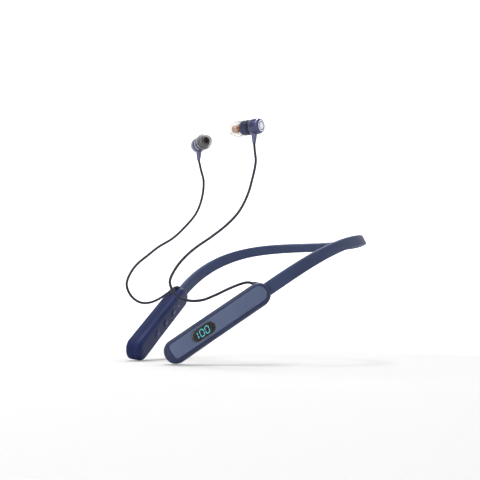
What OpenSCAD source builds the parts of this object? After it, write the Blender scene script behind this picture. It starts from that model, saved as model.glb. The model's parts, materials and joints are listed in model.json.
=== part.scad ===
// Wireless neckband earphones, in the pose they hang in when worn.
// +Z is up, the wearer faces -Y and the origin is on the inner face of the
// band at the back of the neck. The display arm is on +X, the control arm on -X.

/* [Band] */
// Radius of the part of the band that goes round the back of the neck
back_radius = 60; // [55:1:75]
// Length of that round part, measured from the middle of the band
back_arc = 72; // [60:1:80]
// Radius of the flatter bend along the side of the neck
side_radius = 104; // [90:1:120]
// Length of one arm of the band, from the middle to the pod
arm_len = 161; // [155:1:175]
// Steepest slope of the arm, where it meets the pod
arm_slope = 35; // [20:1:40]
// Height of the band next to the pod
band_h = 9; // [7:0.5:9.5]
// Height of the band at the back of the neck
band_back_h = 7; // [6:0.5:9]
// Thickness of the band
band_t = 4; // [3.6:0.2:5]
// Place along the arm where it bends outwards when it is spread
flex_at = 48; // [40:1:60]

/* [Pods] */
// Length of each pod
pod_len = 80; // [78:1:90]
// Width of the pod's broad face
pod_w = 15.6; // [14:0.2:16.4]
// Thickness of the pod
pod_t = 12; // [11:0.2:13]
// Wall of the pod shells
wall = 1.5; // [1.2:0.1:1.6]
// Twist of the pod about its own length, which tips its broad face up
pod_twist = 8; // [0:1:20]
// Diameter of the three buttons
button_d = 6; // [5:0.2:7]
// Distance between the buttons
button_pitch = 13; // [11:0.5:14]
// Travel of a button
button_travel = 0.4; // [0.3:0.1:0.5]
// Length of the display window
window_len = 17; // [15:0.5:20]
// Width of the display window
window_w = 7.6; // [7:0.2:8.4]

/* [Earbuds] */
// Diameter of the earbud's body
bud_d = 11; // [10:0.5:12]
// Length of the ear tip
tip_len = 9; // [8:0.5:10]
// Outer diameter of the ear tip
tip_d = 11.6; // [11:0.2:13]
// Diameter of the cord
cord_d = 1.8; // [1.6:0.1:2.2]

/* [Hidden] */
$fn = 48;

slope_from = 22;
flex_gap = 0.3;
clear = 0.35;
sockets = 6;
wire_d = 1.2;
cable_d = 1.6;
bore_slack = 0.25;
core_off = 1.7;
slit = 0.15;
steps = 66;
step = arm_len / steps;
lid_y = pod_t / 2 - wall;
panel_t = 0.8;
panel_rim = 2.4;
pod_edge = 2.5;
window_at = pod_len * 0.64;
button_at = [for (i = [-1 : 1]) pod_len / 2 + i * button_pitch];
usb_at = pod_len - 14;
usb_l = 9;
usb_t = 3.2;

navy = [0.16, 0.19, 0.38];
navy_light = [0.30, 0.35, 0.52];
slate = [0.42, 0.47, 0.63];
ink = [0.03, 0.03, 0.05];
pearl = [0.72, 0.72, 0.82];
clear_grey = [0.62, 0.62, 0.66];

// --- the arm's centreline: two arcs in plan, easing down to the pod ---
function heading(s) =
    (min(s, back_arc) / back_radius + max(0, s - back_arc) / side_radius) * 180 / PI;
function ease(t) = t * t * (3 - 2 * t);
function slope(s) =
    arm_slope * ease(max(0, min(1, (s - slope_from) / (arm_len - slope_from))));
function along(s) =
    [cos(slope(s)) * cos(heading(s)), -cos(slope(s)) * sin(heading(s)), -sin(slope(s))];
function outward(s) = [sin(heading(s)), cos(heading(s)), 0];
function upward(s) = cross(along(s), outward(s));
stations = [for (i = 0, p = [0, band_t / 2, 0]; i <= steps; i = i + 1,
    p = p + step * along((i - 0.5) * step)) p];
function place(s) =
    let (i = min(steps - 1, floor(s / step)))
    s >= arm_len ? stations[steps] + (s - arm_len) * along(arm_len)
    : stations[i] + (s / step - i) * (stations[i + 1] - stations[i]);
function height(s) =
    band_back_h + (band_h - band_back_h) * ease(min(1, s / arm_len));
// the same for either side, where a negative s is on the control arm
function side(s) = s < 0 ? [-1, 1, 1] : [1, 1, 1];
function flip(v, s) = [v.x * side(s).x, v.y, v.z];
function spot(s) = flip(place(abs(s)), s);
function out_of(s) = flip(outward(abs(s)), s);
function up_of(s) = flip(upward(abs(s)), s);

// --- swept tubes ---
// rings is a list of rings with the same number of points, seen anticlockwise
// from the end of the sweep
module skin(rings) {
    n = len(rings[0]);
    last = len(rings) - 1;
    polyhedron(
        points = [for (ring = rings) for (p = ring) p],
        faces = concat(
            [[for (k = [0 : n - 1]) k]],
            [[for (k = [n - 1 : -1 : 0]) last * n + k]],
            [for (i = [0 : last - 1]) for (k = [0 : n - 1]) each [
                [i * n + k, (i + 1) * n + k, (i + 1) * n + (k + 1) % n],
                [i * n + k, (i + 1) * n + (k + 1) % n, i * n + (k + 1) % n]
            ]]
        ),
        convexity = 6
    );
}

function bulge(v) = sign(v) * pow(abs(v), 0.45);
// outline of the band at s, as pairs of outward and upward offsets; each core
// lies in a bore that opens on the inner face through a narrow slit
function bore(d, off) = [[-band_t, off - slit], for (k = [0 : 7]) let (a = 200 + k * 45.7)
    [d / 2 * cos(-a), off - d / 2 * sin(-a)], [-band_t, off + slit]];
function rim(h, a0, a1) = [for (a = [a0 : 22.5 : a1])
    [band_t / 2 * bulge(sin(a)), h / 2 * bulge(cos(a))]];
function trim(v) = [max(v.x, -band_t / 2), v.y];
function outline(s) = let (h = height(abs(s))) concat(rim(h, 0, 247.5),
    [for (v = bore(cable_d + bore_slack, -core_off)) trim(v)],
    [for (v = bore(wire_d + bore_slack, core_off)) trim(v)], rim(h, 292.5, 340));
function band_ring(s, thin = 1) =
    [for (v = outline(s)) spot(s) + out_of(s) * v.x * thin + up_of(s) * v.y];
function core_ring(s, d, off) = [for (k = [0 : 7]) let (a = k * 45)
    spot(s) + out_of(s) * d / 2 * sin(a) + up_of(s) * (off + d / 2 * cos(a))];
function range(from, to, count) = [for (i = [0 : count]) from + (to - from) * i / count];

module band_run(from, to, count) {
    skin([for (s = range(from, to, count)) band_ring(s)]);
}
module core_run(from, to, count, d, off) {
    skin([for (s = range(from, to, count)) core_ring(s, d, off)]);
}

// --- frames ---
pod_base = place(arm_len);
pod_x = along(arm_len);
pod_y = outward(arm_len) * cos(pod_twist) + upward(arm_len) * sin(pod_twist);
pod_z = upward(arm_len) * cos(pod_twist) - outward(arm_len) * sin(pod_twist);
// x runs along the pod to its tip, y out of its broad face, z up its edge
module in_pod() {
    multmatrix([
        [pod_x.x, pod_y.x, pod_z.x, pod_base.x],
        [pod_x.y, pod_y.y, pod_z.y, pod_base.y],
        [pod_x.z, pod_y.z, pod_z.z, pod_base.z]
    ]) children();
}
module display_side() { in_pod() children(); }
module control_side() { mirror([1, 0, 0]) in_pod() children(); }
function unit(v) = v / norm(v);
// z runs along the direction given
module face_along(at, dir) {
    u = unit(dir);
    translate(at) rotate([0, acos(u.z), atan2(u.y, u.x)]) children();
}

// --- pods ---
module pill(from, to, w, y0, y1) {
    translate([0, y0, 0]) rotate([-90, 0, 0]) linear_extrude(y1 - y0) {
        translate([from + w / 2, 0]) circle(d = w);
        translate([to - w / 2, 0]) circle(d = w);
        translate([from + w / 2, -w / 2]) square([to - from - w, w]);
    }
}
// half of the pod, from its middle to a broad face, with a round along that edge
function half_section() = concat([[0, 0], [pod_w / 2, 0]],
    [for (a = [0 : 18 : 90])
        [pod_w / 2 - pod_edge + pod_edge * cos(a), pod_t / 2 - pod_edge + pod_edge * sin(a)]],
    [[0, pod_t / 2]]);
module half_pod(side) {
    mirror([0, side > 0 ? 0 : 1, 0]) {
        for (end = [0, 1])
            translate([end ? pod_len - pod_w / 2 : pod_w / 2, 0, 0]) rotate([-90, 0, 0])
                rotate([0, 0, end ? -90 : 90]) rotate_extrude(angle = 180)
                    polygon(half_section());
        translate([pod_w / 2, 0, 0]) rotate([90, 0, 90]) linear_extrude(pod_len - pod_w)
            polygon(concat(
                [for (q = half_section()) [q.y, q.x]],
                [for (i = [len(half_section()) - 1 : -1 : 1])
                    [half_section()[i].y, -half_section()[i].x]]));
    }
}
module block(x0, x1, y0, y1, z0, z1) {
    translate([x0, y0, z0]) cube([x1 - x0, y1 - y0, z1 - z0]);
}
module post(x, z, d, y0, y1) {
    translate([x, y0, z]) rotate([-90, 0, 0]) cylinder(d = d, h = y1 - y0);
}
module band_slot() {
    block(-1, sockets, -band_t / 2 - 0.12, band_t / 2 + 0.12, -band_h / 2 - 0.12,
        band_h / 2 + 0.12);
}
grommet_at = [4.5, 0, pod_w / 2 - 1.4];
grommet_dir = [0.64, 0, 0.77];
grommet_in = 1.1;
grommet_out = 3.8;
module grommet_hole() {
    face_along(grommet_at - 3.5 * unit(grommet_dir), grommet_dir) cylinder(d = 3.5, h = 12);
}
module grommet() {
    color(navy) face_along(grommet_at - grommet_in * unit(grommet_dir), grommet_dir)
        difference() {
            cylinder(d1 = 3.4, d2 = 2.8, h = grommet_out);
            translate([0, 0, -1]) cylinder(d = cord_d + 0.1, h = grommet_out + 2);
        }
}
screw_at = [38.5, pod_len - 5.5];
screw_head = 2.6;
screw_shank = 1.4;
module screw(x) {
    difference() {
        union() {
            post(x, 0, screw_head, -pod_t / 2 + 0.1, -pod_t / 2 + 0.9);
            post(x, 0, screw_shank, -pod_t / 2 + 0.9, 1.6);
        }
        block(x - 0.9, x + 0.9, -pod_t / 2, -pod_t / 2 + 0.5, -0.2, 0.2);
        block(x - 0.2, x + 0.2, -pod_t / 2, -pod_t / 2 + 0.5, -0.9, 0.9);
    }
}
module screw_hole(x) {
    post(x, 0, screw_head + 0.2, -pod_t / 2 - 1, -pod_t / 2 + 0.95);
    post(x, 0, screw_shank + 0.1, -pod_t / 2, 1.7);
}
module outer_shell(screws) {
    difference() {
        union() {
            difference() {
                half_pod(1);
                pill(wall, pod_len - wall, pod_w - 2 * wall, -1, lid_y);
            }
            for (x = screws) post(x, 0, 3.4, 0, lid_y + 0.1);
        }
        pill(panel_rim, pod_len - panel_rim, pod_w - 2 * panel_rim,
            pod_t / 2 - panel_t + 0.1, pod_t);
        for (x = screws) screw_hole(x);
        band_slot();
        grommet_hole();
    }
}
module inner_shell(screws) {
    difference() {
        union() {
            difference() {
                half_pod(-1);
                pill(wall, pod_len - wall, pod_w - 2 * wall, -lid_y, 1);
            }
            for (x = screws) post(x, 0, 3.4, -lid_y - 0.1, 0);
        }
        for (x = screws) screw_hole(x);
        band_slot();
        grommet_hole();
    }
}
module window(grow, y0, y1) {
    pill(window_at - window_len / 2 - grow, window_at + window_len / 2 + grow,
        window_w + 2 * grow, y0, y1);
}
module panel() {
    pill(panel_rim + 0.1, pod_len - panel_rim - 0.1, pod_w - 2 * panel_rim - 0.2,
        pod_t / 2 - panel_t + 0.1, pod_t / 2 + 0.1);
}

// --- display pod ---
module display_pod_outer_shell() {
    color(navy_light) display_side() difference() {
        outer_shell(screw_at);
        window(0.1, 0, pod_t);
    }
}
module display_pod_inner_shell() { color(navy_light) display_side() inner_shell(screw_at); }
module display_face_panel() {
    color(slate) display_side() difference() {
        panel();
        window(0.1, 0, pod_t);
    }
}
module display_lens() {
    color(ink) display_side() window(0, pod_t / 2 - 1, pod_t / 2 + 0.2);
}
// one bar of a digit: x is along the row of digits, z is up the digit
digit_h = 4;
digit_w = 2.1;
bar = 0.5;
module upright(x, z) {
    block(x - bar / 2, x + bar / 2, lid_y + 0.1, lid_y + 0.4, z + 0.1, z + digit_h / 2 - 0.1);
}
module flat_bar(x, z) {
    block(x + 0.3, x + digit_w - 0.3, lid_y + 0.1, lid_y + 0.4, z - bar / 2, z + bar / 2);
}
module nought(x) {
    for (z = [-digit_h / 2, 0]) {
        upright(x, z);
        upright(x + digit_w, z);
    }
    flat_bar(x, -digit_h / 2);
    flat_bar(x, digit_h / 2);
}
module display_digits() {
    color([0.35, 0.85, 0.9]) display_side() translate([window_at, 0, 0]) {
        nought(-6.2);
        nought(-2.5);
        for (z = [-digit_h / 2, 0]) upright(2.2, z);
    }
}
module display_module() {
    color([0.85, 0.86, 0.84]) display_side()
        block(window_at - 9, window_at + 9, 1.5, lid_y, -4.4, 4.4);
}
module display_board() {
    color([0.1, 0.35, 0.22]) display_side()
        block(window_at - 10, window_at + 19, 0.4, 1.4, -4.6, 4.6);
}
module battery_cell() {
    color([0.75, 0.77, 0.8]) display_side() block(10, 35, -3.3, 2.9, -4.8, 4.8);
}
module battery_pad() {
    color([0.25, 0.25, 0.27]) display_side() block(11, 34, -4.3, -3.4, -4.2, 4.2);
}
module display_pod_screws() {
    color([0.35, 0.35, 0.38]) display_side() for (x = screw_at) screw(x);
}
module left_cord_grommet() { display_side() grommet(); }

// --- control pod ---
control_screws = [11, pod_len - 5.5];
module control_pod_outer_shell() {
    color(navy) control_side() difference() {
        outer_shell(control_screws);
        usb_cut();
    }
}
module control_pod_inner_shell() {
    color(navy) control_side() difference() {
        inner_shell(control_screws);
        for (x = button_at) post(x, 0, button_d + 2 * clear, -pod_t, 0);
        post(light_at, 0, 1.9, -pod_t, 0);
        usb_cut();
    }
}
light_at = 17.5;
module usb_cut() {
    translate([usb_at, 0, -pod_w]) linear_extrude(pod_w - 2) usb_face(0.1);
}
module usb_face(grow) {
    for (x = [-1, 1]) translate([x * (usb_l - usb_t) / 2, 0]) circle(d = usb_t + 2 * grow);
    square([usb_l - usb_t, usb_t + 2 * grow], center = true);
}
module control_face_panel() { color(navy_light) control_side() panel(); }
module main_board() {
    color([0.1, 0.35, 0.22]) control_side() block(14, usb_at - 6, -0.9, 0.1, -4.6, 4.6);
}
module bluetooth_module() {
    color([0.7, 0.72, 0.74]) control_side() block(22, 36, 0.1, 1.7, -4, 4);
}
module tact_switches() {
    color([0.2, 0.2, 0.22]) control_side() for (x = button_at) {
        block(x - 1.6, x + 1.6, -1.7, -0.9, -1.6, 1.6);
        post(x, 0, 1.4, -2.05, -1.6);
    }
}
module microphone() {
    color([0.8, 0.75, 0.55]) control_side() block(44, 47, 0.1, 1.1, -1.9, 1.9);
}
module usb_socket() {
    color([0.75, 0.76, 0.78]) control_side() translate([usb_at, 0, -pod_w / 2 + 0.3]) {
        difference() {
            linear_extrude(7.3) usb_face(0);
            translate([0, 0, -1]) linear_extrude(7) usb_face(-0.35);
        }
        translate([-3.3, -0.35, 1]) cube([6.6, 0.7, 5.5]);
    }
}
module status_light_pipe() {
    color([0.9, 0.9, 0.92]) control_side() post(light_at, 0, 1.7, -pod_t / 2, -1);
}
module control_pod_screws() {
    color([0.35, 0.35, 0.38]) control_side() for (x = control_screws) screw(x);
}
module right_cord_grommet() { control_side() grommet(); }
// a cap with a collar under the shell, and a foot over its switch
module button(x) {
    control_side() {
        post(x, 0, button_d, -pod_t / 2 - 0.6, -lid_y + 0.4);
        post(x, 0, button_d + 1.6, -lid_y + 0.3, -lid_y + 0.8);
        post(x, 0, 2.4, -lid_y + 0.7, -2.05 - button_travel - 0.02);
    }
}
module button_plus() { color(navy_light) button(button_at[0]); }
module button_play() { color(navy_light) button(button_at[1]); }
module button_minus() { color(navy_light) button(button_at[2]); }

// --- earbuds: z runs from the back of the bud to the ear ---
left_bud_at = [25, -112, 73];
left_bud_dir = [-0.93, -0.28, 0.02];
right_bud_at = [-27, -116, 70.5];
right_bud_dir = [0.94, -0.29, -0.04];
module left_bud() { face_along(left_bud_at, left_bud_dir) children(); }
module right_bud() { face_along(right_bud_at, right_bud_dir) children(); }
module barrel() {
    color(navy_light) difference() {
        rotate_extrude() polygon([
            [0, -3], [4.6, -3], [4.6, -2.2], [bud_d / 2, -1.8], [bud_d / 2, 3.4],
            [4.2, 5.2], [2.6, 5.4], [2.6, 9.6], [2.9, 10], [2.2, 10.6],
            [2.15, 12.5], [0, 12.5]
        ]);
        translate([0, 0, -4]) cylinder(d = 9.4, h = 6.6);
        cylinder(d = 3.6, h = 14);
    }
}
module cap() {
    difference() {
        rotate_extrude() polygon([
            [0, -12], [4.2, -12], [4.9, -11.4], [5.4, -10.4], [bud_d / 2 + 0.2, -9],
            [bud_d / 2 + 0.2, -5.6], [5.4, -4.4], [4.9, -3.6], [4.9, -3.05], [0, -3.05]
        ]);
        translate([0, 0, -13]) cylinder(d = 8, h = 1.7);
        translate([0, 0, -10.2]) cylinder(d = 8.2, h = 8);
    }
}
module badge() { color(pearl) translate([0, 0, -12.2]) cylinder(d = 7.8, h = 0.85); }
module driver() { color([0.8, 0.6, 0.3]) translate([0, 0, -2.6]) cylinder(d = 9.2, h = 3.4); }
module magnet() { color([0.6, 0.6, 0.62]) translate([0, 0, -9.9]) cylinder(d = 6, h = 2); }
module mesh() { color([0.75, 0.45, 0.25]) translate([0, 0, 11.8]) cylinder(d = 3.4, h = 0.5); }
module ear_tip() {
    color(clear_grey) rotate_extrude() polygon([
        [3.25, 5.9], [4.3, 5.9], [4.3, 7.4], [tip_d / 2 - 1, 5.9], [tip_d / 2, 6.6],
        [tip_d / 2 - 0.3, 9.5], [4.4, 12.6], [3.3, 5.9 + tip_len], [2.5, 5.9 + tip_len],
        [2.5, 11], [3.25, 10.7]
    ]);
}

// --- leads ---
function seg_len(p, i) = norm(p[i + 1] - p[i]);
// point on the curve through p between p[i] and p[i + 1]
function weave(p, i, t) =
    let (a = p[max(0, i - 1)], b = p[i], c = p[i + 1], d = p[min(len(p) - 1, i + 2)])
    0.5 * (2 * b + (c - a) * t + (2 * a - 5 * b + 4 * c - d) * t * t
        + (3 * b - a - 3 * c + d) * t * t * t);
function fine(p) = [for (i = [0 : len(p) - 2])
    let (n = max(1, round(seg_len(p, i) / (2.6 * cord_d))))
    for (k = [0 : n - 1]) weave(p, i, k / n), p[len(p) - 1]];
function tangent(q, i) = unit(q[min(len(q) - 1, i + 1)] - q[max(0, i - 1)]);
function carry(q, i, u) = let (t = tangent(q, i)) unit(u - t * (u * t));
module cord(p) {
    q = fine(p);
    start = carry(q, 0, [0.3, 1, 0.1]);
    ups = [for (i = 0, u = start; i < len(q); i = i + 1,
        u = i < len(q) ? carry(q, i, u) : u) u];
    color([0.2, 0.21, 0.27]) skin([for (i = [0 : len(q) - 1])
        let (u = ups[i], v = cross(tangent(q, i), u))
        [for (k = [0 : 7]) q[i] + cord_d / 2 * (cos(k * 45) * u - sin(k * 45) * v)]]);
}
function pod_point(v) = pod_base + pod_x * v.x + pod_y * v.y + pod_z * v.z;
exit_local = grommet_at + (grommet_out - grommet_in + 0.3) * unit(grommet_dir);
left_exit = pod_point(exit_local);
right_exit = flip(pod_point(exit_local), -1);
stem_l = 7;
stem_back = 6;
function bud_stem(at, dir) = at - stem_back * unit(dir) - [0, 0, bud_d / 2 + stem_l - 1];

left_route = [
    [45, -125, -37], [43, -130, -38.5], [41, -138, -42], [39, -146, -46],
    [37, -155, -49.5], [35, -164, -50], [33, -171.5, -47], [31, -175.5, -39],
    [30, -171, -30], [30, -164, -22], [29, -155, -15], [29, -143, -7], [29, -131, 2],
    [29, -121, 12], [29, -114, 24], [29, -110, 36], [30, -108, 48], [30, -109, 56]
];
right_route = [
    [-45, -125, -38], [-44, -131, -42], [-42, -140, -47], [-40, -149, -50],
    [-38, -158, -50], [-36, -166, -46], [-34, -171, -39], [-33, -170, -32],
    [-32, -165, -24], [-31, -157, -17], [-31, -148, -10], [-30, -137, -3],
    [-30, -127, 6], [-29, -118, 17], [-29, -113, 29], [-30, -111, 42], [-31, -113, 51]
];
module left_cord() { cord(concat([left_exit], left_route, [bud_stem(left_bud_at, left_bud_dir)])); }
module right_cord() { cord(concat([right_exit], right_route, [bud_stem(right_bud_at, right_bud_dir)])); }
module stem(at, dir) {
    color(pearl) translate(bud_stem(at, dir) - [0, 0, 0.4]) difference() {
        cylinder(d1 = 2.6, d2 = 4.4, h = stem_l + 0.4);
        translate([0, 0, -1]) cylinder(d = cord_d + 0.1, h = 2.4);
    }
}
module left_stem() { stem(left_bud_at, left_bud_dir); }
module right_stem() { stem(right_bud_at, right_bud_dir); }
module left_bud_barrel() { left_bud() barrel(); }
module stem_hole(at, dir) {
    translate(bud_stem(at, dir) + [0, 0, stem_l - 2.5]) cylinder(d = 4.6, h = 2.6);
}
module left_bud_cap() {
    color(navy) difference() {
        left_bud() cap();
        stem_hole(left_bud_at, left_bud_dir);
    }
}
module left_badge() { left_bud() badge(); }
module left_driver() { left_bud() driver(); }
module left_magnet() { left_bud() magnet(); }
module left_nozzle_mesh() { left_bud() mesh(); }
module left_ear_tip() { left_bud() ear_tip(); }
module right_bud_barrel() { right_bud() barrel(); }
module right_bud_cap() {
    color(navy) difference() {
        right_bud() cap();
        stem_hole(right_bud_at, right_bud_dir);
    }
}
module right_badge() { right_bud() badge(); }
module right_driver() { right_bud() driver(); }
module right_magnet() { right_bud() magnet(); }
module right_nozzle_mesh() { right_bud() mesh(); }
module right_ear_tip() { right_bud() ear_tip(); }

// --- band ---
socket_end = arm_len + sockets - 1;
arm_from = flex_at + band_t / 2 + flex_gap;
// the back piece ends in a half round, which the arm swings about
function nose(dir) = [for (a = dir * [75, 50, 25]) band_ring(dir * flex_at
    + sin(a) * band_t / 2, cos(a))];
back_end = flex_at - 0.5;
module band_back() {
    color(navy_light) skin(concat(
        nose(-1), [for (s = range(-flex_at, flex_at, 28)) band_ring(s)],
        [for (i = [2 : -1 : 0]) nose(1)[i]]
    ));
}
module back_core_wire() {
    color([0.6, 0.6, 0.63]) core_run(-back_end, back_end, 28, wire_d, core_off);
}
module back_link_cable() {
    color([0.15, 0.15, 0.16]) core_run(-back_end, back_end, 28, cable_d, -core_off);
}
module display_band() { color(navy_light) band_run(arm_from, socket_end, 34); }
module display_core_wire() {
    color([0.6, 0.6, 0.63]) core_run(arm_from + 0.5, socket_end, 34, wire_d, core_off);
}
module display_link_cable() {
    color([0.15, 0.15, 0.16]) core_run(arm_from + 0.5, socket_end, 34, cable_d, -core_off);
}
module control_band() { color(navy_light) mirror([1, 0, 0]) band_run(arm_from, socket_end, 34); }
module control_core_wire() {
    color([0.6, 0.6, 0.63]) mirror([1, 0, 0])
        core_run(arm_from + 0.5, socket_end, 34, wire_d, core_off);
}
module control_link_cable() {
    color([0.15, 0.15, 0.16]) mirror([1, 0, 0])
        core_run(arm_from + 0.5, socket_end, 34, cable_d, -core_off);
}

band_back();
back_core_wire();
back_link_cable();
display_band();
display_core_wire();
display_link_cable();
display_pod_outer_shell();
display_pod_inner_shell();
display_face_panel();
display_lens();
display_digits();
display_module();
display_board();
battery_cell();
battery_pad();
display_pod_screws();
left_cord_grommet();
control_band();
control_core_wire();
control_link_cable();
control_pod_outer_shell();
control_pod_inner_shell();
control_face_panel();
main_board();
bluetooth_module();
tact_switches();
microphone();
usb_socket();
status_light_pipe();
control_pod_screws();
right_cord_grommet();
button_plus();
button_play();
button_minus();
left_cord();
left_stem();
left_bud_barrel();
left_bud_cap();
left_badge();
left_driver();
left_magnet();
left_nozzle_mesh();
left_ear_tip();
right_cord();
right_stem();
right_bud_barrel();
right_bud_cap();
right_badge();
right_driver();
right_magnet();
right_nozzle_mesh();
right_ear_tip();
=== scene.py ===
"""Neckband earphones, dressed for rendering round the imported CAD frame. Metres, Z up."""
import json
import math

import bmesh
import bpy
import numpy as np
from mathutils import Matrix, Vector


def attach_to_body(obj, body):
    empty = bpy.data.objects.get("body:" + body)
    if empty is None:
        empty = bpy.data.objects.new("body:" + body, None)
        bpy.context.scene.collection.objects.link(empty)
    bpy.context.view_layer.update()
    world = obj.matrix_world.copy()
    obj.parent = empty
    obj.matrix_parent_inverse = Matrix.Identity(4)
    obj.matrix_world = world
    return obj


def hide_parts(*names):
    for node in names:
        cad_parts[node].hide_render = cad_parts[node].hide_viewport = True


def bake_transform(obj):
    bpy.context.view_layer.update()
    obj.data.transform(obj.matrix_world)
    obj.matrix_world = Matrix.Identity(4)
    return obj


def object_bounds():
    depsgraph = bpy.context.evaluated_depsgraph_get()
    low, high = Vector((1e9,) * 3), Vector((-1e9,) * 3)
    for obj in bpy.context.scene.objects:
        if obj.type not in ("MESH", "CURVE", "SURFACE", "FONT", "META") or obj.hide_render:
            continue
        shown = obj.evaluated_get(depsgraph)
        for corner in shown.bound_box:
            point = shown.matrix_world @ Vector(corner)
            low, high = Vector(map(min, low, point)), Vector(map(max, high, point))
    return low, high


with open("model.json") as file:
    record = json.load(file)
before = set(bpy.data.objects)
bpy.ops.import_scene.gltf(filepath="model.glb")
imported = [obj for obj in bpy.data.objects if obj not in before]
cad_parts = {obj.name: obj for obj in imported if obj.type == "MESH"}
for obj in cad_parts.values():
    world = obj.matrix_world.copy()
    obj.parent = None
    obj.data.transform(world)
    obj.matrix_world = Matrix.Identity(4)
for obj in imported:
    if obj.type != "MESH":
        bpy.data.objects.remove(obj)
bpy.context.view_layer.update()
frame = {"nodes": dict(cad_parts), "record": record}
record = frame["record"]
MM = 0.001


# ---------------------------------------------------------------- camera
def make_camera():
    data = bpy.data.cameras.new("camera")
    data.lens, data.sensor_width = 56.8, 36
    data.clip_start, data.clip_end = 0.01, 20
    camera = bpy.data.objects.new("camera", data)
    bpy.context.scene.collection.objects.link(camera)
    eye = Vector((0.440, -0.425, -0.0645))
    aim = Vector((-0.0174, -0.0851, -0.0009))
    tilt = Matrix.Rotation(math.radians(1.1), 4, "Z")
    turn = (aim - eye).to_track_quat("-Z", "Y").to_matrix().to_4x4()
    camera.matrix_world = Matrix.Translation(eye) @ turn @ tilt
    bpy.context.scene.camera = camera


make_camera()


# ---------------------------------------------------------------- the arm's centreline
BACK_RADIUS, BACK_ARC, SIDE_RADIUS = 0.060, 0.072, 0.104
ARM_LEN, ARM_SLOPE, SLOPE_FROM = 0.161, math.radians(35), 0.022
BAND_T, BAND_H, BAND_BACK_H = 0.004, 0.009, 0.007
FLEX_AT = 0.048
POD_LEN, POD_W, POD_T, POD_TWIST = 0.080, 0.0156, 0.012, math.radians(8)
STEPS = 66
MIRROR = np.array([-1.0, 1.0, 1.0])


def ease(t):
    return t * t * (3 - 2 * t)


def heading(s):
    return min(s, BACK_ARC) / BACK_RADIUS + max(0.0, s - BACK_ARC) / SIDE_RADIUS


def slope(s):
    return ARM_SLOPE * ease(min(1.0, max(0.0, (s - SLOPE_FROM) / (ARM_LEN - SLOPE_FROM))))


def along(s):
    h, d = heading(s), slope(s)
    return np.array([math.cos(d) * math.cos(h), -math.cos(d) * math.sin(h), -math.sin(d)])


def outward(s):
    return np.array([math.sin(heading(s)), math.cos(heading(s)), 0.0])


def upward(s):
    return np.cross(along(s), outward(s))


STEP = ARM_LEN / STEPS
STATIONS = [np.array([0, BAND_T / 2, 0])]
for i in range(1, STEPS + 1):
    STATIONS.append(STATIONS[-1] + STEP * along((i - 0.5) * STEP))


def place(s):
    if s >= ARM_LEN:
        return STATIONS[-1] + (s - ARM_LEN) * along(ARM_LEN)
    i = min(STEPS - 1, int(s / STEP))
    return STATIONS[i] + (s / STEP - i) * (STATIONS[i + 1] - STATIONS[i])


def band_height(s):
    return BAND_BACK_H + (BAND_H - BAND_BACK_H) * ease(min(1.0, s / ARM_LEN))


POD_BASE, POD_X = place(ARM_LEN), along(ARM_LEN)
POD_Y = outward(ARM_LEN) * math.cos(POD_TWIST) + upward(ARM_LEN) * math.sin(POD_TWIST)
POD_Z = upward(ARM_LEN) * math.cos(POD_TWIST) - outward(ARM_LEN) * math.sin(POD_TWIST)


def pod_point(x, y, z, side=1):
    p = POD_BASE + POD_X * x + POD_Y * y + POD_Z * z
    return p if side > 0 else p * MIRROR


def pod_vector(x, y, z, side=1):
    v = POD_X * x + POD_Y * y + POD_Z * z
    return v if side > 0 else v * MIRROR


def unit(v):
    v = np.array(v, float)
    return v / np.linalg.norm(v)


# ---------------------------------------------------------------- materials
def rgba(c):
    return (c[0], c[1], c[2], 1.0)


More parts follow.
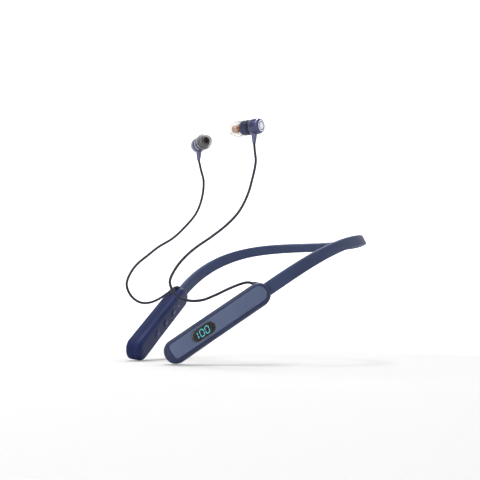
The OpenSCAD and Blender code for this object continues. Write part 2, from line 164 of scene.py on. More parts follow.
def surface(name, colour, rough, metal=0.0, coat=0.0, coat_rough=0.1, grain=900.0, bump=0.08,
            tint=0.10, rough_spread=0.08, transmission=0.0, glow=None, streak=None, specular=0.5,
            film=None):
    """A moulded, painted or drawn surface: broad blotches in colour, fine grain in roughness and
    bump. Film gives its opacity seen square on and at a grazing angle."""
    m = bpy.data.materials.new(name)
    m.use_nodes = True
    t = m.node_tree
    n, link = t.nodes, t.links.new
    shader = n["Principled BSDF"]
    source = n.new("ShaderNodeTexCoord").outputs["Object"]
    if streak:
        scale = n.new("ShaderNodeVectorMath")
        scale.operation = "MULTIPLY"
        scale.inputs[1].default_value = streak
        link(source, scale.inputs[0])
        source = scale.outputs[0]
    fine = n.new("ShaderNodeTexNoise")
    fine.inputs["Scale"].default_value = grain
    fine.inputs["Detail"].default_value = 4
    broad = n.new("ShaderNodeTexNoise")
    broad.inputs["Scale"].default_value = 60
    broad.inputs["Detail"].default_value = 3
    for tex in (fine, broad):
        link(source, tex.inputs["Vector"])
    ramp = n.new("ShaderNodeValToRGB")
    ramp.color_ramp.elements[0].position = 0.3
    ramp.color_ramp.elements[1].position = 0.7
    ramp.color_ramp.elements[0].color = rgba([c * (1 - tint) for c in colour])
    ramp.color_ramp.elements[1].color = rgba([min(1, c * (1 + tint)) for c in colour])
    link(broad.outputs["Fac"], ramp.inputs["Fac"])
    link(ramp.outputs["Color"], shader.inputs["Base Color"])
    spread = n.new("ShaderNodeMapRange")
    spread.inputs["To Min"].default_value = max(0.02, rough - rough_spread)
    spread.inputs["To Max"].default_value = min(1.0, rough + rough_spread)
    link(fine.outputs["Fac"], spread.inputs["Value"])
    link(spread.outputs["Result"], shader.inputs["Roughness"])
    relief = n.new("ShaderNodeBump")
    relief.inputs["Strength"].default_value = bump
    relief.inputs["Distance"].default_value = 0.0002
    link(fine.outputs["Fac"], relief.inputs["Height"])
    link(relief.outputs["Normal"], shader.inputs["Normal"])
    shader.inputs["Metallic"].default_value = metal
    shader.inputs["IOR"].default_value = 1.5
    shader.inputs["Coat Weight"].default_value = coat
    shader.inputs["Coat Roughness"].default_value = coat_rough
    shader.inputs["Transmission Weight"].default_value = transmission
    shader.inputs["Specular IOR Level"].default_value = specular
    if film:
        edge = n.new("ShaderNodeLayerWeight")
        edge.inputs["Blend"].default_value = 0.45
        thick = n.new("ShaderNodeMapRange")
        thick.inputs["To Min"].default_value, thick.inputs["To Max"].default_value = film
        link(edge.outputs["Facing"], thick.inputs["Value"])
        link(thick.outputs["Result"], shader.inputs["Alpha"])
    if glow:
        shader.inputs["Emission Color"].default_value = rgba(glow)
        shader.inputs["Emission Strength"].default_value = 1.6
    return m


MAT = {
    "band": surface("silicone_navy", (0.048, 0.064, 0.132), 0.55, grain=1500, bump=0.12,
                    specular=0.15),
    "shell": surface("pod_shell_navy", (0.028, 0.038, 0.090), 0.38, specular=0.25),
    "control_shell": surface("pod_shell_deep_blue", (0.014, 0.022, 0.084), 0.42, specular=0.12),
    "panel": surface("pod_panel_slate", (0.100, 0.128, 0.220), 0.42, metal=0.3, grain=2600,
                     bump=0.05, tint=0.05, specular=0.4),
    "control_panel": surface("pod_panel_blue", (0.024, 0.034, 0.11), 0.4, metal=0.2, grain=2600,
                             bump=0.05),
    "lens": surface("smoked_lens", (0.004, 0.004, 0.006), 0.08, coat=0.6, coat_rough=0.04,
                    bump=0.01, rough_spread=0.02, tint=0.02),
    "lens_ring": surface("lens_ring", (0.10, 0.12, 0.18), 0.28, metal=0.5, bump=0.02),
    "digits": surface("display_segments", (0.03, 0.20, 0.23), 0.4, glow=(0.05, 0.30, 0.34)),
    "component": surface("plated_part", (0.6, 0.62, 0.64), 0.35, metal=0.8),
    "circuit_board": surface("solder_mask", (0.02, 0.16, 0.07), 0.35, coat=0.4, grain=2200),
    "foam": surface("foam_pad", (0.05, 0.05, 0.055), 0.9, grain=1600, bump=0.5),
    "screw_steel": surface("screw_steel", (0.035, 0.037, 0.05), 0.4, metal=0.9, streak=(1, 1, 6)),
    # near black: a real dark joint at the shell seam, and painted shade in the screw sinks, the screw
    # crosses and the charging port well
    "recess": surface("dark_joint_and_painted_shade", (0.004, 0.004, 0.006), 0.6),
    "grommet": surface("grommet_rubber", (0.018, 0.022, 0.050), 0.5, grain=1400, bump=0.12,
                       specular=0.25),
    "switch_plastic": surface("switch_plastic", (0.04, 0.04, 0.045), 0.5),
    "socket_steel": surface("socket_steel", (0.5, 0.5, 0.52), 0.28, metal=1.0, streak=(5, 1, 1)),
    "light_pipe": surface("light_pipe", (0.05, 0.06, 0.12), 0.15, transmission=0.3),
    "button": surface("button_blue", (0.026, 0.036, 0.105), 0.42, specular=0.15),
    "button_mark": surface("button_mark", (0.20, 0.22, 0.38), 0.5, specular=0.2),
    "cord": surface("cord_jacket", (0.020, 0.023, 0.040), 0.48, grain=1800, bump=0.15,
                    specular=0.3),
    "stem": surface("stem_lavender", (0.12, 0.125, 0.235), 0.30, metal=0.35, coat=0.3),
    "bud_front": surface("bud_front_metallic", (0.026, 0.034, 0.085), 0.30, metal=0.4, coat=0.2,
                         coat_rough=0.15, grain=2500, bump=0.04),
    "bud_rear": surface("bud_rear_metallic", (0.050, 0.058, 0.140), 0.27, metal=0.5, coat=0.4,
                        coat_rough=0.12, grain=2500, bump=0.04),
    "bud_groove": surface("bud_groove", (0.012, 0.014, 0.034), 0.35, metal=0.3, bump=0.03),
    "badge": surface("badge_silver", (0.78, 0.80, 0.88), 0.30, metal=0.45),
    "badge_inlay": surface("badge_inlay", (0.10, 0.11, 0.22), 0.3, metal=0.6),
    "ear_tip_grey": surface("ear_tip_grey_silicone", (0.085, 0.088, 0.085), 0.20, coat=0.6,
                            coat_rough=0.08, bump=0.03, rough_spread=0.04, tint=0.06,
                            film=(0.45, 0.80)),
    # a darker copy of the copper nozzle tube, for the right bud: painted shade looking into its bore
    "nozzle_painted_shade": surface("nozzle_painted_shade", (0.07, 0.055, 0.045), 0.35, metal=0.8, grain=2500),
    "nozzle_tube": surface("nozzle_tube", (0.62, 0.25, 0.08), 0.30, metal=0.85, grain=2500),
    "driver": surface("driver_brass", (0.7, 0.5, 0.25), 0.35, metal=1.0),
    "magnet": surface("magnet_plate", (0.5, 0.5, 0.52), 0.25, metal=1.0),
    "nozzle_mesh": surface("nozzle_mesh", (0.03, 0.028, 0.026), 0.45, metal=0.6, grain=4500,
                           bump=0.6),
    "ear_tip": surface("ear_tip_silicone", (0.52, 0.48, 0.45), 0.16, coat=0.6, coat_rough=0.05,
                       bump=0.03, rough_spread=0.04, tint=0.04, film=(0.12, 0.85)),
    "spring_wire": surface("spring_wire", (0.5, 0.5, 0.53), 0.3, metal=1.0),
    "cable_jacket": surface("cable_jacket", (0.02, 0.02, 0.02), 0.5),
}


def attach(piece, body, node=None):
    """Rides a piece on its body, and hides the CAD node it stands for."""
    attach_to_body(piece, body)
    if node:
        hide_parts(node)


# ---------------------------------------------------------------- mesh helpers
def add_mesh(name, verts, faces, material, smooth_angle=35):
    mesh = bpy.data.meshes.new(name)
    mesh.from_pydata([tuple(v) for v in verts], [], faces)
    mesh.materials.append(MAT[material])
    obj = bpy.data.objects.new(name, mesh)
    bpy.context.scene.collection.objects.link(obj)
    bm = bmesh.new()
    bm.from_mesh(mesh)
    bmesh.ops.recalc_face_normals(bm, faces=bm.faces)
    limit = math.radians(smooth_angle)
    for face in bm.faces:
        face.smooth = True
    for edge in bm.edges:
        if len(edge.link_faces) == 2 and edge.calc_face_angle(0) > limit:
            edge.smooth = False
    bm.to_mesh(mesh)
    bm.free()
    return obj


def loft(rings, closed=True, caps=True):
    """Vertices and faces joining rings with the same number of points."""
    n = len(rings[0])
    verts = [p for ring in rings for p in ring]
    faces = []
    for i in range(len(rings) - 1):
        for k in range(n if closed else n - 1):
            a, b = i * n + k, i * n + (k + 1) % n
            faces.append((a, a + n, b + n, b))
    if caps:
        faces.append(tuple(range(n)))
        faces.append(tuple(range((len(rings) - 1) * n, len(rings) * n)))
    return verts, faces


def frame_along(direction):
    """Matrix whose z runs along direction, and whose x is level."""
    z = unit(direction)
    x = unit(np.cross([0, 0, 1], z)) if abs(z[2]) < 0.95 else np.array([1.0, 0, 0])
    x = unit(x - z * (x @ z))
    return np.stack([x, np.cross(z, x), z], 1)


def lathe(name, profile, at, direction, material, segments=64, smooth_angle=35):
    """Turns (radius, height) points round the line from at along direction; ends on the axis close."""
    turn = frame_along(direction)
    at = np.array(at, float)
    verts, index = [], []
    for r, h in profile:
        if r < 1e-7:
            index.append([len(verts)] * segments)
            verts.append(at + turn @ [0, 0, h])
            continue
        index.append(list(range(len(verts), len(verts) + segments)))
        for k in range(segments):
            a = 2 * math.pi * k / segments
            verts.append(at + turn @ [r * math.cos(a), r * math.sin(a), h])
    faces = []
    for low, high in zip(index, index[1:]):
        for k in range(segments):
            j = (k + 1) % segments
            face = list(dict.fromkeys((low[k], low[j], high[j], high[k])))
            if len(face) > 2:
                faces.append(tuple(face))
    if profile[0][0] > 1e-7 and profile[0] != profile[-1]:
        faces.append(tuple(reversed(index[0])))
        faces.append(tuple(index[-1]))
    return add_mesh(name, verts, faces, material, smooth_angle)


def rounded(points, radius, steps=5):
    """An open outline of (a, b) points with its inner corners rounded."""
    pts = [np.array(p, float) for p in points]
    out = [pts[0]]
    for before, corner, after in zip(pts, pts[1:], pts[2:]):
        u, v = unit(before - corner), unit(after - corner)
        reach = min(radius, 0.45 * np.linalg.norm(before - corner),
                    0.45 * np.linalg.norm(after - corner))
        start, end = corner + u * reach, corner + v * reach
        for k in range(steps + 1):
            t = k / steps
            out.append((1 - t) ** 2 * start + 2 * t * (1 - t) * corner + t * t * end)
    out.append(pts[-1])
    return [tuple(p) for p in out]


def stadium(x0, x1, half, arc=20, run=10):
    """Points round a stadium from x0 to x1 and of that half width, as (x, z)."""
    half = max(half, 1e-5)
    a, b = x0 + half, x1 - half
    pts = [(a + (b - a) * k / run, half) for k in range(run)]
    pts += [(b + half * math.sin(math.pi * k / arc), half * math.cos(math.pi * k / arc))
            for k in range(arc)]
    pts += [(b + (a - b) * k / run, -half) for k in range(run)]
    pts += [(a - half * math.sin(math.pi * k / arc), -half * math.cos(math.pi * k / arc))
            for k in range(arc)]
    return pts


def pod_piece(name, profile, side, material, x0=0.0, x1=POD_LEN, half=POD_W / 2, smooth_angle=35,
              tip=0.0):
    """Sweeps (inset, y) points round the stadium; the first and last loops are filled. With tip,
    the inset grows towards the far end by that many times, which rounds the end off."""
    rings = []
    for inset, y in profile:
        ring = []
        for x, z in stadium(x0 + inset, x1 - inset, half - inset):
            reach = max(0.0, (x - (x1 - half)) / max(half - inset, 1e-5))
            ring.append(pod_point(x - tip * inset * reach ** 2, y, z, side))
        rings.append(ring)
    verts, faces = loft(rings)
    return add_mesh(name, verts, faces, material, smooth_angle)


# ---------------------------------------------------------------- cords
def weave(p, steps=5):
    """The smooth curve through p that the CAD cord follows."""
    p = [np.array(q, float) for q in p]
    out = []
    for i in range(len(p) - 1):
        a, b, c, d = p[max(0, i - 1)], p[i], p[i + 1], p[min(len(p) - 1, i + 2)]
        for k in range(steps):
            t = k / steps
            out.append(0.5 * (2 * b + (c - a) * t + (2 * a - 5 * b + 4 * c - d) * t * t
                              + (3 * b - a - 3 * c + d) * t ** 3))
    out.append(p[-1])
    return out


CORD_D = 0.0018
GROMMET_AT = np.array([0.0045, 0, POD_W / 2 - 0.0014])
GROMMET_DIR = unit([0.64, 0, 0.77])
GROMMET_IN, GROMMET_OUT = 0.0011, 0.0038
LEFT_BUD, LEFT_DIR = np.array([0.025, -0.112, 0.073]), unit([-0.93, -0.28, 0.02])
RIGHT_BUD, RIGHT_DIR = np.array([-0.027, -0.116, 0.0705]), unit([0.94, -0.29, -0.04])
BUD_D, STEM_L, STEM_BACK = 0.011, 0.007, 0.006


def cord_end(at, direction):
    return at - STEM_BACK * direction - np.array([0, 0, BUD_D / 2 + STEM_L - 0.001])


LEFT_ROUTE = [
    (45, -125, -37), (43, -130, -38.5), (41, -138, -42), (39, -146, -46),
    (37, -155, -49.5), (35, -164, -50), (33, -171.5, -47), (31, -175.5, -39),
    (30, -171, -30), (30, -164, -22), (29, -155, -15), (29, -143, -7), (29, -131, 2),
    (29, -121, 12), (29, -114, 24), (29, -110, 36), (30, -108, 48), (30, -109, 56),
]
RIGHT_ROUTE = [
    (-45, -125, -38), (-44, -131, -42), (-42, -140, -47), (-40, -149, -50),
    (-38, -158, -50), (-36, -166, -46), (-34, -171, -39), (-33, -170, -32),
    (-32, -165, -24), (-31, -157, -17), (-31, -148, -10), (-30, -137, -3),
    (-30, -127, 6), (-29, -118, 17), (-29, -113, 29), (-30, -111, 42), (-31, -113, 51),
]


STUB_IN, STUB_OUT = 0.0025, 0.0012  # cord hidden in the strain relief and in the stem


def make_cord(name, side, route, bud, direction, body, node):
    e = GROMMET_AT + (GROMMET_OUT - GROMMET_IN + 0.0003) * GROMMET_DIR
    start = pod_point(e[0], e[1], e[2], side)
    inside = start - pod_vector(*GROMMET_DIR, side) * STUB_IN
    path = [inside] + weave([start] + [np.array(p) * MM for p in route]
                            + [cord_end(bud, direction)])
    path.append(path[-1] + np.array([0, 0, STUB_OUT]))
    curve = bpy.data.curves.new(name, "CURVE")
    curve.dimensions = "3D"
    curve.bevel_depth, curve.bevel_resolution = CORD_D / 2, 4
    curve.use_fill_caps = True
    line = curve.splines.new("POLY")
    line.points.add(len(path) - 1)
    for point, p in zip(line.points, path):
        point.co = (*p, 1)
    line.use_smooth = True
    curve.materials.append(MAT["cord"])
    obj = bpy.data.objects.new(name, curve)
    bpy.context.scene.collection.objects.link(obj)
    attach(obj, body, node)


make_cord("left_cord_jacket", 1, LEFT_ROUTE, LEFT_BUD, LEFT_DIR, "left_lead", "left_cord")
make_cord("right_cord_jacket", -1, RIGHT_ROUTE, RIGHT_BUD, RIGHT_DIR, "right_lead", "right_cord")


# ---------------------------------------------------------------- band
LEAN, LEAN_FROM, LEAN_FADE = math.radians(30), 0.040, 0.050
BLEND_HALF = 0.013


def band_ring(s, side, half_t, half_h):
    """A rounded outline across the arm at s; round the back of the neck its top leans in."""
    lean = LEAN * (1 - ease(min(1.0, max(0.0, (s - LEAN_FROM) / LEAN_FADE))))
    at = place(s)
    out = outward(s) * math.cos(lean) + upward(s) * math.sin(lean)
    up = upward(s) * math.cos(lean) - outward(s) * math.sin(lean)
    ring = []
    for k in range(28):
        a = 2 * math.pi * k / 28
        x = math.copysign(abs(math.sin(a)) ** 0.55, math.sin(a)) * half_t
        z = math.copysign(abs(math.cos(a)) ** 0.30, math.cos(a)) * half_h
        p = at + out * x + up * z
        ring.append(p if side > 0 else p * MIRROR)
    return ring


def make_band(name, side, nodes):
    stops = np.linspace(0, ARM_LEN + 0.004, 84)
    rings = [band_ring(s, side, BAND_T / 2, band_height(min(s, ARM_LEN)) / 2) for s in stops]
    verts, faces = loft(rings)
    obj = add_mesh(name, verts, faces, "band", 50)
    start, end = place(FLEX_AT - BLEND_HALF), place(FLEX_AT + BLEND_HALF)
    if side < 0:
        start, end = start * MIRROR, end * MIRROR
    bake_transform(obj)
    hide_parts(*nodes)


make_band("left_band_skin", 1, ["band_back", "display_band"])
make_band("right_band_skin", -1, ["control_band"])


# ---------------------------------------------------------------- pods
RIM, EDGE = 0.0024, 0.0025
TOP = POD_T / 2


def make_case(prefix, side, body, shell, panel):
    """Outer and inner shell with their parting line, and the face panel let into the outer one."""
    arc = [(EDGE - EDGE * math.cos(a), TOP - EDGE + EDGE * math.sin(a))
           for a in np.linspace(0, math.pi / 2, 10)]
    outer = [(0.0004, 0.00003), (0.00012, 0.00004), (0.0, 0.00016), (0.0, 0.0012)] + arc[:-1]
    outer += [(RIM, TOP - 0.00005), (RIM + 0.00008, TOP - 0.0003), (RIM + 0.00008, TOP - 0.0009)]
    piece = pod_piece(prefix + "_pod_front_case", outer, side, shell, tip=0.8)
    attach(piece, body, prefix + "_pod_outer_shell")
    inner = [(0.0004, -0.00003), (0.00012, -0.00004), (0.0, -0.00016), (0.0, -0.0012)]
    soft = 0.0034
    inner += [(soft - soft * math.cos(a), -TOP + soft - soft * math.sin(a))
              for a in np.linspace(0, math.pi / 2, 12)] + [(0.0045, -TOP)]
    piece = pod_piece(prefix + "_pod_back_case", inner, side, shell, tip=0.25)
    attach(piece, body, prefix + "_pod_inner_shell")
    gap = RIM + 0.0002
    cover = [(gap, TOP - 0.0008), (gap, TOP - 0.0003)]
    cover += [(gap + 0.00035 * (1 - math.cos(a)), TOP - 0.0003 + 0.00035 * math.sin(a))
              for a in np.linspace(0.2, math.pi / 2, 6)] + [(gap + 0.0012, TOP + 0.00005)]
    piece = pod_piece(prefix + "_pod_cover", cover, side, panel, tip=0.8)
    attach(piece, body, prefix + "_face_panel")
    # the seam between the shells, a dark line let in a little
    seam = [(0.0003, -0.0004), (0.0003, 0.0004)]
    piece = pod_piece(prefix + "_pod_seam", seam, side, "recess", tip=0.8)
    attach(piece, body)


make_case("display", 1, "display_arm", "shell", "panel")
make_case("control", -1, "control_arm", "control_shell", "control_panel")

WINDOW_AT, WINDOW_L, WINDOW_W = POD_LEN * 0.64, 0.017, 0.0076


def make_display():
    x0, x1 = WINDOW_AT - WINDOW_L / 2, WINDOW_AT + WINDOW_L / 2
    half = WINDOW_W / 2
    grow = 0.0006
    ring = [(0, TOP - 0.0004), (0, TOP + 0.00010), (0.0001, TOP + 0.00022), (0.0004, TOP + 0.00022),
            (grow - 0.00005, TOP + 0.00012), (grow, TOP)]
    rings = [[pod_point(x, y, z) for x, z in stadium(x0 - grow + i, x1 + grow - i, half + grow - i)]
             for i, y in ring]
    verts, faces = loft(rings, caps=False)
    n = len(rings[0])
    last = (len(rings) - 1) * n
    faces += [(k, last + k, last + (k + 1) % n, (k + 1) % n) for k in range(n)]
    piece = add_mesh("display_window_ring", verts, faces, "lens_ring")
    attach(piece, "display_arm")
    glass = [(0.00002, TOP - 0.0008), (0.00002, TOP + 0.00008), (0.0002, TOP + 0.00016),
             (0.0007, TOP + 0.0002)]
    piece = pod_piece("display_window_glass", glass, 1, "lens", x0, x1, half, 50)
    attach(piece, "display_arm", "display_lens")


make_display()

# the seven bars of a digit, as (x, z, lying flat); x and z in digit widths and half heights
BARS = {
    "top": (0, 1, True), "middle": (0, 0, True), "bottom": (0, -1, True),
    "left_high": (-1, 0.5, False), "right_high": (1, 0.5, False),
    "left_low": (-1, -0.5, False), "right_low": (1, -0.5, False),
}
DIGITS = {"0": ("top", "bottom", "left_high", "right_high", "left_low", "right_low"),
          "1": ("right_high", "right_low")}


def make_digits():
    """The charge reading, in leaning seven-segment numbers that read towards the band."""
    half_w, half_h, bar, lean = 0.0013, 0.0021, 0.00025, 0.18
    y0, y1 = TOP + 0.00018, TOP + 0.00026
    verts, faces = [], []

    def hexagon(cx, cz, flat, centre):
        long, thin = (half_w if flat else half_h / 2) - 0.00016, bar
        pts = [(-long, 0), (-long + thin, thin), (long - thin, thin), (long, 0),
               (long - thin, -thin), (-long + thin, -thin)]
        first = len(verts)
        for y in (y0, y1):
            for u, v in pts:
                x, z = (cx + u, cz + v) if flat else (cx + v, cz + u)
                verts.append(pod_point(WINDOW_AT + centre - (x + lean * z), y, z))
        faces.append(tuple(first + k for k in range(6)))
        faces.append(tuple(first + 11 - k for k in range(6)))
        for k in range(6):
            faces.append((first + k, first + (k + 1) % 6, first + 6 + (k + 1) % 6, first + 6 + k))

    for digit, centre in (("1", 0.0056), ("0", 0.0012), ("0", -0.0027)):
        for name in DIGITS[digit]:
            x, z, flat = BARS[name]
            hexagon(x * half_w, z * half_h, flat, centre)
    piece = add_mesh("display_reading", verts, faces, "digits")
    attach(piece, "display_arm", "display_digits")


make_digits()

BUTTON_D, BUTTON_PITCH = 0.006, 0.013


def make_button(name, node, body, x, mark):
    inward = pod_vector(0, 1, 0, -1)
    at = pod_point(x, -TOP - 0.0006, 0, -1)
    r = BUTTON_D / 2
    profile = [(0, 0.00018), (r * 0.35, 0.00014), (r * 0.7, 0.0000), (r * 0.9, 0.00018),
               (r * 0.985, 0.00045), (r, 0.0008), (r, 0.0022), (0, 0.0022)]
    cap = lathe(name, profile, at, inward, "button", 48, 40)
    attach(cap, body, node)
    verts, faces = [], []

    def stroke(x0, x1, z0, z1):
        first = len(verts)
        for y in (-TOP - 0.00075, -TOP - 0.00041):
            for u, v in ((x0, z0), (x1, z0), (x1, z1), (x0, z1)):
                verts.append(pod_point(x + u, y, v, -1))
        for face in ((0, 1, 2, 3), (7, 6, 5, 4), (0, 4, 5, 1), (1, 5, 6, 2), (2, 6, 7, 3),
                     (3, 7, 4, 0)):
            faces.append(tuple(first + k for k in face))

    w, l = 0.00022, 0.0012
    if mark == "play":
        stroke(-0.0010, -0.0010 + 2 * w, -0.0009, 0.0009)
        stroke(0.0002, 0.0002 + 2 * w, -0.0009, 0.0009)
    else:
        stroke(-l, l, -w, w)
        if mark == "plus":
            stroke(-w, w, w, l)
            stroke(-w, w, -l, -w)
    sign = add_mesh(name + "_mark", verts, faces, "button_mark")
    attach(sign, body)
    seat = [(r + 0.00062, 0.0004), (r + 0.0006, 0.0001), (r + 0.0004, -0.0001),
            (r + 0.0002, 0.0000), (r + 0.00015, 0.0006), (r + 0.00062, 0.0006),
            (r + 0.00062, 0.0004)]
    ring = lathe(name + "_seat", seat, pod_point(x, -TOP, 0, -1), inward, "grommet", 48)
    attach(ring, "control_arm")


for i, (name, node, body, mark) in enumerate((
        ("plus_key_cap", "button_plus", "plus_key", "plus"),
        ("play_key_cap", "button_play", "play_key", "play"),
        ("minus_key_cap", "button_minus", "minus_key", "minus"))):
    make_button(name, node, body, POD_LEN / 2 + (i - 1) * BUTTON_PITCH, mark)


def slab(verts, faces, side, box):
    """Adds a box given in pod coordinates to a mesh in the making."""
    (x0, x1), (y0, y1), (z0, z1) = box
    first = len(verts)
    for x in (x0, x1):
        for y in (y0, y1):
            for z in (z0, z1):
                verts.append(pod_point(x, y, z, side))
    for face in ((0, 1, 3, 2), (4, 6, 7, 5), (0, 4, 5, 1), (2, 3, 7, 6), (0, 2, 6, 4), (1, 5, 7, 3)):
        faces.append(tuple(first + k for k in face))


def make_screws(prefix, side, body, places):
    """Case screws on the inner face: a domed head in its sink, with a cross recess. The sink, where it
    shows round the head, and the cross are near black: painted shade.
    """
    inward = pod_vector(0, 1, 0, side)
    for i, x in enumerate(places):
        at = pod_point(x, -TOP, 0, side)
        name = "%s_case_screw_%d" % (prefix, i)
        # the sink is near black where it shows round the head: painted shade
        sink = lathe(name + "_sink", [(0, 0.0005), (0.0015, 0.0005), (0.0015, -0.00003),
                                      (0.00135, -0.00003), (0.0013, 0.00004), (0, 0.00004)],
                     at, inward, "recess", 40)
        head = lathe(name, [(0, -0.00010), (0.0007, -0.00009), (0.0011, -0.00004), (0.0013, 0.0001),
                            (0.0013, 0.0005), (0, 0.0005)], at, inward, "screw_steel", 40)
        # the cross is a near-black slab through the head's top: painted shade for the recess
        verts, faces = [], []
        long, thin, depth = 0.0008, 0.00017, (-TOP - 0.00013, -TOP)
        slab(verts, faces, side, ((x - long, x + long), depth, (-thin, thin)))
        slab(verts, faces, side, ((x - thin, x + thin), depth, (-long, long)))
        cross = add_mesh(name + "_cross", verts, faces, "recess")
        for piece in (sink, head, cross):
            attach(piece, body)
        if i == 0:
            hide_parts(prefix + "_pod_screws")


make_screws("display", 1, "display_arm", (0.0385, 0.0745))
make_screws("control", -1, "control_arm", (0.011, 0.0745))


def make_port():
    """The charging port on the lower edge of the control pod."""
    x0, long, thin, edge = POD_LEN - 0.014, 0.0045, 0.0016, -POD_W / 2

    def outline(grow, z):
        return [pod_point(x0 + x, y, z, -1)
                for x, y in stadium(-long - grow, long + grow, thin + grow)]

    rings = [outline(0.0002, edge + 0.0004), outline(0.0002, edge - 0.00004),
             outline(0.0001, edge - 0.0001), outline(-0.0003, edge - 0.0001),
             outline(-0.00042, edge), outline(-0.00045, edge + 0.0004)]
    verts, faces = loft(rings, caps=False)
    n, last = len(rings[0]), 5 * len(rings[0])
    faces += [(k, last + k, last + (k + 1) % n, (k + 1) % n) for k in range(n)]
    lip = add_mesh("charging_port_lip", verts, faces, "socket_steel")
    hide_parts("usb_socket")
    # the well is a near-black plug level with the edge: painted shade for the port's depth
    verts, faces = loft([outline(-0.0004, edge + 0.0003), outline(-0.0004, edge - 0.00002)])
    well = add_mesh("charging_port_well", verts, faces, "recess")
    verts, faces = [], []
    slab(verts, faces, -1, ((x0 - 0.0033, x0 + 0.0033), (-0.00035, 0.00035),
                            (edge - 0.00006, edge + 0.0003)))
    tongue = add_mesh("charging_port_tongue", verts, faces, "switch_plastic")
    for piece in (lip, well, tongue):
        attach(piece, "control_arm")


make_port()


def make_grommet(name, node, side, body):
    """The fluted strain relief round the cord where it leaves the pod."""
    start = GROMMET_AT - GROMMET_IN * GROMMET_DIR
    bore = CORD_D / 2 + 0.00005
    foot, flute, pitch = 0.0017, 0.00018, 0.00065
    profile = [(bore, 0), (foot, 0)]
    for k in range(4):
        h = 0.0010 + k * pitch
        r = foot - 0.00008 * k
        profile += [(r, h), (r - flute, h + 0.00015), (r - flute, h + 0.0003),
                    (r - 0.00004, h + 0.00045)]
    profile += [(0.00135, GROMMET_OUT - 0.0001), (0.0012, GROMMET_OUT), (bore, GROMMET_OUT),
                (bore, 0)]
    piece = lathe(name, profile, pod_point(*start, side), pod_vector(*GROMMET_DIR, side),
                  "grommet", 40)
    attach(piece, body, node)


make_grommet("left_strain_relief", "left_cord_grommet", 1, "display_arm")
make_grommet("right_strain_relief", "right_cord_grommet", -1, "control_arm")


# ---------------------------------------------------------------- earbuds
def mesh_disc(side, at, direction, body):
    """The guard in the nozzle: a disc with rows of small dimples."""
    turn = frame_along(direction)
    verts, faces, n, r = [], [], 17, 0.00175
    for j in range(n):
        for i in range(n):
            u, v = 2 * i / (n - 1) - 1, 2 * j / (n - 1) - 1
            x, y = u * math.sqrt(1 - v * v / 2) * r, v * math.sqrt(1 - u * u / 2) * r
            dip = 0.00008 if (i % 2 and j % 2) else 0.0
            verts.append(np.array(at) + turn @ [x, y, 0.0121 - dip])
    for j in range(n - 1):
        for i in range(n - 1):
            k = j * n + i
            faces.append((k, k + 1, k + n + 1, k + n))
    rim = [j * n for j in range(n)] + [(n - 1) * n + i for i in range(1, n)]
    rim += [j * n + n - 1 for j in range(n - 2, -1, -1)] + [i for i in range(n - 2, 0, -1)]
    under = []
    for k in rim:
        under.append(len(verts))
        verts.append(verts[k] - turn @ [0, 0, 0.0004])
    for a in range(len(rim)):
        b = (a + 1) % len(rim)
        faces.append((rim[a], rim[b], under[b], under[a]))
    faces.append(tuple(under))
    obj = add_mesh(side + "_wax_guard", verts, faces, "nozzle_mesh", 20)
    attach(obj, body, side + "_nozzle_mesh")


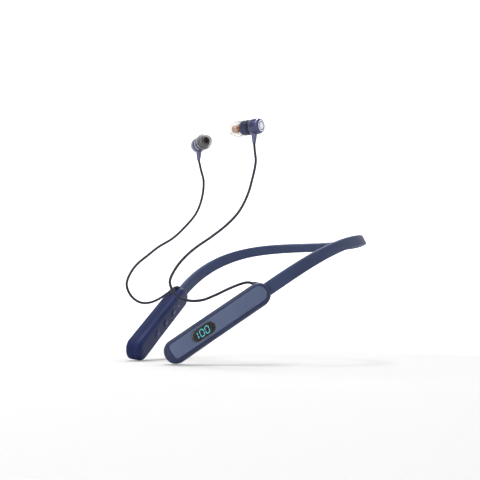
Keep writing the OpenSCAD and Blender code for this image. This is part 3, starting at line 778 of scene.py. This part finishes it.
def make_bud(side, at, direction, body, tip_body):
    r = BUD_D / 2

    def turned(name, node, outline, material, radius=0.0003, ride_on=body, angle=35):
        obj = lathe(name, rounded(outline, radius, 4), at, direction, material, 72, angle)
        attach(obj, ride_on, side + "_" + node if node else None)

    turned(side + "_bud_front", "bud_barrel", [
        (0, -0.0030), (0.0046, -0.0030), (0.0046, -0.0022), (r - 0.0002, -0.0020), (r, -0.0015),
        (r, 0.0026), (r - 0.0005, 0.0036), (0.0036, 0.0052), (0.0028, 0.0055), (0, 0.0055)],
        "bud_front", 0.0005)
    # the left nozzle tube is copper; the right one takes the darker copy, painted shade
    turned(side + "_bud_nozzle", None, [
        (0, 0.0050), (0.0026, 0.0050), (0.0026, 0.0095), (0.0029, 0.0100), (0.0022, 0.0106),
        (0.00215, 0.0123), (0.0020, 0.0125), (0.0018, 0.0124), (0.0018, 0.0110), (0, 0.0110)],
        "nozzle_tube" if side == "left" else "nozzle_painted_shade", 0.0002)
    mesh_disc(side, at, direction, body)
    turned(side + "_bud_rear", "bud_cap", [
        (0, -0.0116), (0.0039, -0.0116), (0.0040, -0.0120), (0.0042, -0.0121), (0.0049, -0.0115),
        (0.0054, -0.0104), (r + 0.0002, -0.0090), (r + 0.0002, -0.0056), (0.0055, -0.0044),
        (0.0049, -0.0038), (0.0049, -0.00305), (0, -0.00305)], "bud_rear", 0.0007)
    turned(side + "_bud_groove_ring", None, [
        (0.0046, -0.0038), (0.00495, -0.0038), (0.0050, -0.0030), (0.00495, -0.0022),
        (0.0046, -0.0022), (0.0046, -0.0038)], "bud_groove", 0.0001)
    turned(side + "_bud_badge", "badge", [
        (0, -0.01205), (0.0008, -0.01205), (0.0010, -0.01225), (0.0022, -0.01225),
        (0.0024, -0.01210), (0.0031, -0.01210), (0.0033, -0.0123), (0.0037, -0.0123),
        (0.0039, -0.0121), (0.0039, -0.0114), (0, -0.0114)], "badge", 0.0001)
    turned(side + "_badge_inlay", None, [
        (0.0025, -0.01220), (0.0031, -0.01220), (0.0031, -0.0120), (0.0025, -0.0120),
        (0.0025, -0.01220)], "badge_inlay", 0.00002)
    base = 0.0059
    tip_r, tip_l = 0.0061, 0.0090
    turned(side + "_tip_silicone", "ear_tip", [
        (0.00325, base + 0.0002), (0.0038, base), (0.0041, base + 0.0004), (0.0041, base + 0.0022),
        (0.0050, base + 0.0004), (0.0056, base), (tip_r, base + 0.0010),
        (tip_r - 0.0001, base + 0.0030), (0.0050, base + 0.0056), (0.0042, base + 0.0078),
        (0.0036, base + tip_l - 0.0003), (0.0031, base + tip_l), (0.0026, base + tip_l - 0.0003),
        (0.0025, base + 0.0060), (0.0025, base + 0.0053), (0.00325, base + 0.0050),
        (0.00325, base + 0.0002)], "ear_tip" if side == "left" else "ear_tip_grey",
        0.0008, tip_body, 60)
    end = cord_end(at, direction)
    profile = [(CORD_D / 2 + 0.00005, -0.0004), (0.00125, -0.0004), (0.00135, 0.0000),
               (0.00128, 0.0003), (0.0014, 0.0008), (0.0018, 0.0035), (0.0021, 0.0060),
               (0.0023, STEM_L + 0.0001), (0, STEM_L + 0.0001), (0, 0.0018),
               (CORD_D / 2 + 0.00005, 0.0018), (CORD_D / 2 + 0.00005, -0.0004)]
    stem = lathe(side + "_bud_stem", profile, end, (0, 0, 1), "stem", 40)
    attach(stem, body, side + "_stem")


make_bud("left", LEFT_BUD, LEFT_DIR, "left_lead", "left_tip")
make_bud("right", RIGHT_BUD, RIGHT_DIR, "right_lead", "right_tip")

# ---------------------------------------------------------------- the CAD nodes that stay
SLOTS = {s["node"]: s["material_slot"] for s in record["subparts"]}
for node, obj in frame["nodes"].items():
    material = MAT.get(SLOTS.get(node, ""), MAT["component"])
    obj.data.materials.clear()
    obj.data.materials.append(material)


# ---------------------------------------------------------------- floor and light
def make_stage(floor_z):
    """A pale floor that curves up all round into a pale wall. Its glow is painted light: none near the
    middle, rising outward and along the camera's level looking direction, so the wall behind the part
    shows white.
    """
    material = bpy.data.materials.new("stage_paper")
    material.use_nodes = True
    t = material.node_tree
    shader = t.nodes["Principled BSDF"]
    shader.inputs["Base Color"].default_value = (0.66, 0.66, 0.66, 1)
    shader.inputs["Roughness"].default_value = 0.9
    shader.inputs["Specular IOR Level"].default_value = 0.1
    shader.inputs["Emission Color"].default_value = (1, 1, 1, 1)
    spot = t.nodes.new("ShaderNodeTexCoord")
    reach = t.nodes.new("ShaderNodeVectorMath")
    reach.operation = "LENGTH"
    rise = t.nodes.new("ShaderNodeMapRange")
    rise.inputs["From Min"].default_value = 0.20
    rise.inputs["From Max"].default_value = 0.65
    # the glow grows along the camera's level looking direction and away from the middle: painted light
    # that whitens the wall behind the part, with none on the floor near it
    depth = t.nodes.new("ShaderNodeVectorMath")
    depth.operation = "DOT_PRODUCT"
    depth.inputs[1].default_value = (-0.798, 0.593, 0)
    glow = t.nodes.new("ShaderNodeMapRange")
    glow.inputs["From Min"].default_value = -0.3
    glow.inputs["From Max"].default_value = 0.5
    glow.inputs["To Min"].default_value = 0.0
    glow.inputs["To Max"].default_value = 0.90
    both = t.nodes.new("ShaderNodeMath")
    both.operation = "MULTIPLY"
    t.links.new(spot.outputs["Object"], reach.inputs[0])
    t.links.new(reach.outputs["Value"], rise.inputs["Value"])
    t.links.new(spot.outputs["Object"], depth.inputs[0])
    t.links.new(depth.outputs["Value"], glow.inputs["Value"])
    t.links.new(rise.outputs["Result"], both.inputs[0])
    t.links.new(glow.outputs["Result"], both.inputs[1])
    t.links.new(both.outputs["Value"], shader.inputs["Emission Strength"])
    MAT["stage"] = material
    flat, bend, top = 1.3, 0.8, 3.0
    outline = [(0.0, 0.0), (0.3, 0.0), (0.8, 0.0), (flat, 0.0)]
    outline += [(flat + bend * math.sin(a), bend - bend * math.cos(a))
                for a in np.linspace(0.06, math.pi / 2, 20)]
    outline.append((flat + bend, top))
    verts, faces, n = [np.array([0, -0.08, floor_z])], [], 96
    for r, h in outline[1:]:
        verts += [np.array([r * math.cos(a), r * math.sin(a) - 0.08, floor_z + h])
                  for a in np.linspace(0, 2 * math.pi, n, endpoint=False)]
    for k in range(n):
        faces.append((0, 1 + k, 1 + (k + 1) % n))
    for i in range(len(outline) - 2):
        for k in range(n):
            a, b = 1 + i * n + k, 1 + i * n + (k + 1) % n
            faces.append((a, a + n, b + n, b))
    obj = add_mesh("stage_bowl", verts, faces, "stage", 60)


def make_light(name, at, aim, size, power):
    data = bpy.data.lights.new(name, "AREA")
    data.shape, data.size, data.energy = "DISK", size, power
    obj = bpy.data.objects.new(name, data)
    obj.location = at
    obj.rotation_mode = "QUATERNION"
    obj.rotation_quaternion = (Vector(aim) - Vector(at)).to_track_quat("-Z", "Y")
    bpy.context.scene.collection.objects.link(obj)


low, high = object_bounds()
make_stage(low.z - 0.0004)
centre = (low + high) / 2
make_light("top", (-0.05, -0.15, 1.0), (0, -0.12, 0), 0.25, 5.5)
make_light("key", (0.2, -0.7, 0.9), centre, 0.6, 4.5)
make_light("fill", (0.55, -0.95, 0.15), centre, 0.7, 2.0)
make_light("rim", (-0.7, 0.5, 0.8), centre, 0.5, 3)
world = bpy.data.worlds.new("studio")
world.use_nodes = True
world.node_tree.nodes["Background"].inputs["Color"].default_value = (1, 1, 1, 1)
world.node_tree.nodes["Background"].inputs["Strength"].default_value = 0.10
bpy.context.scene.world = world
bpy.context.scene.view_settings.view_transform = "Standard"
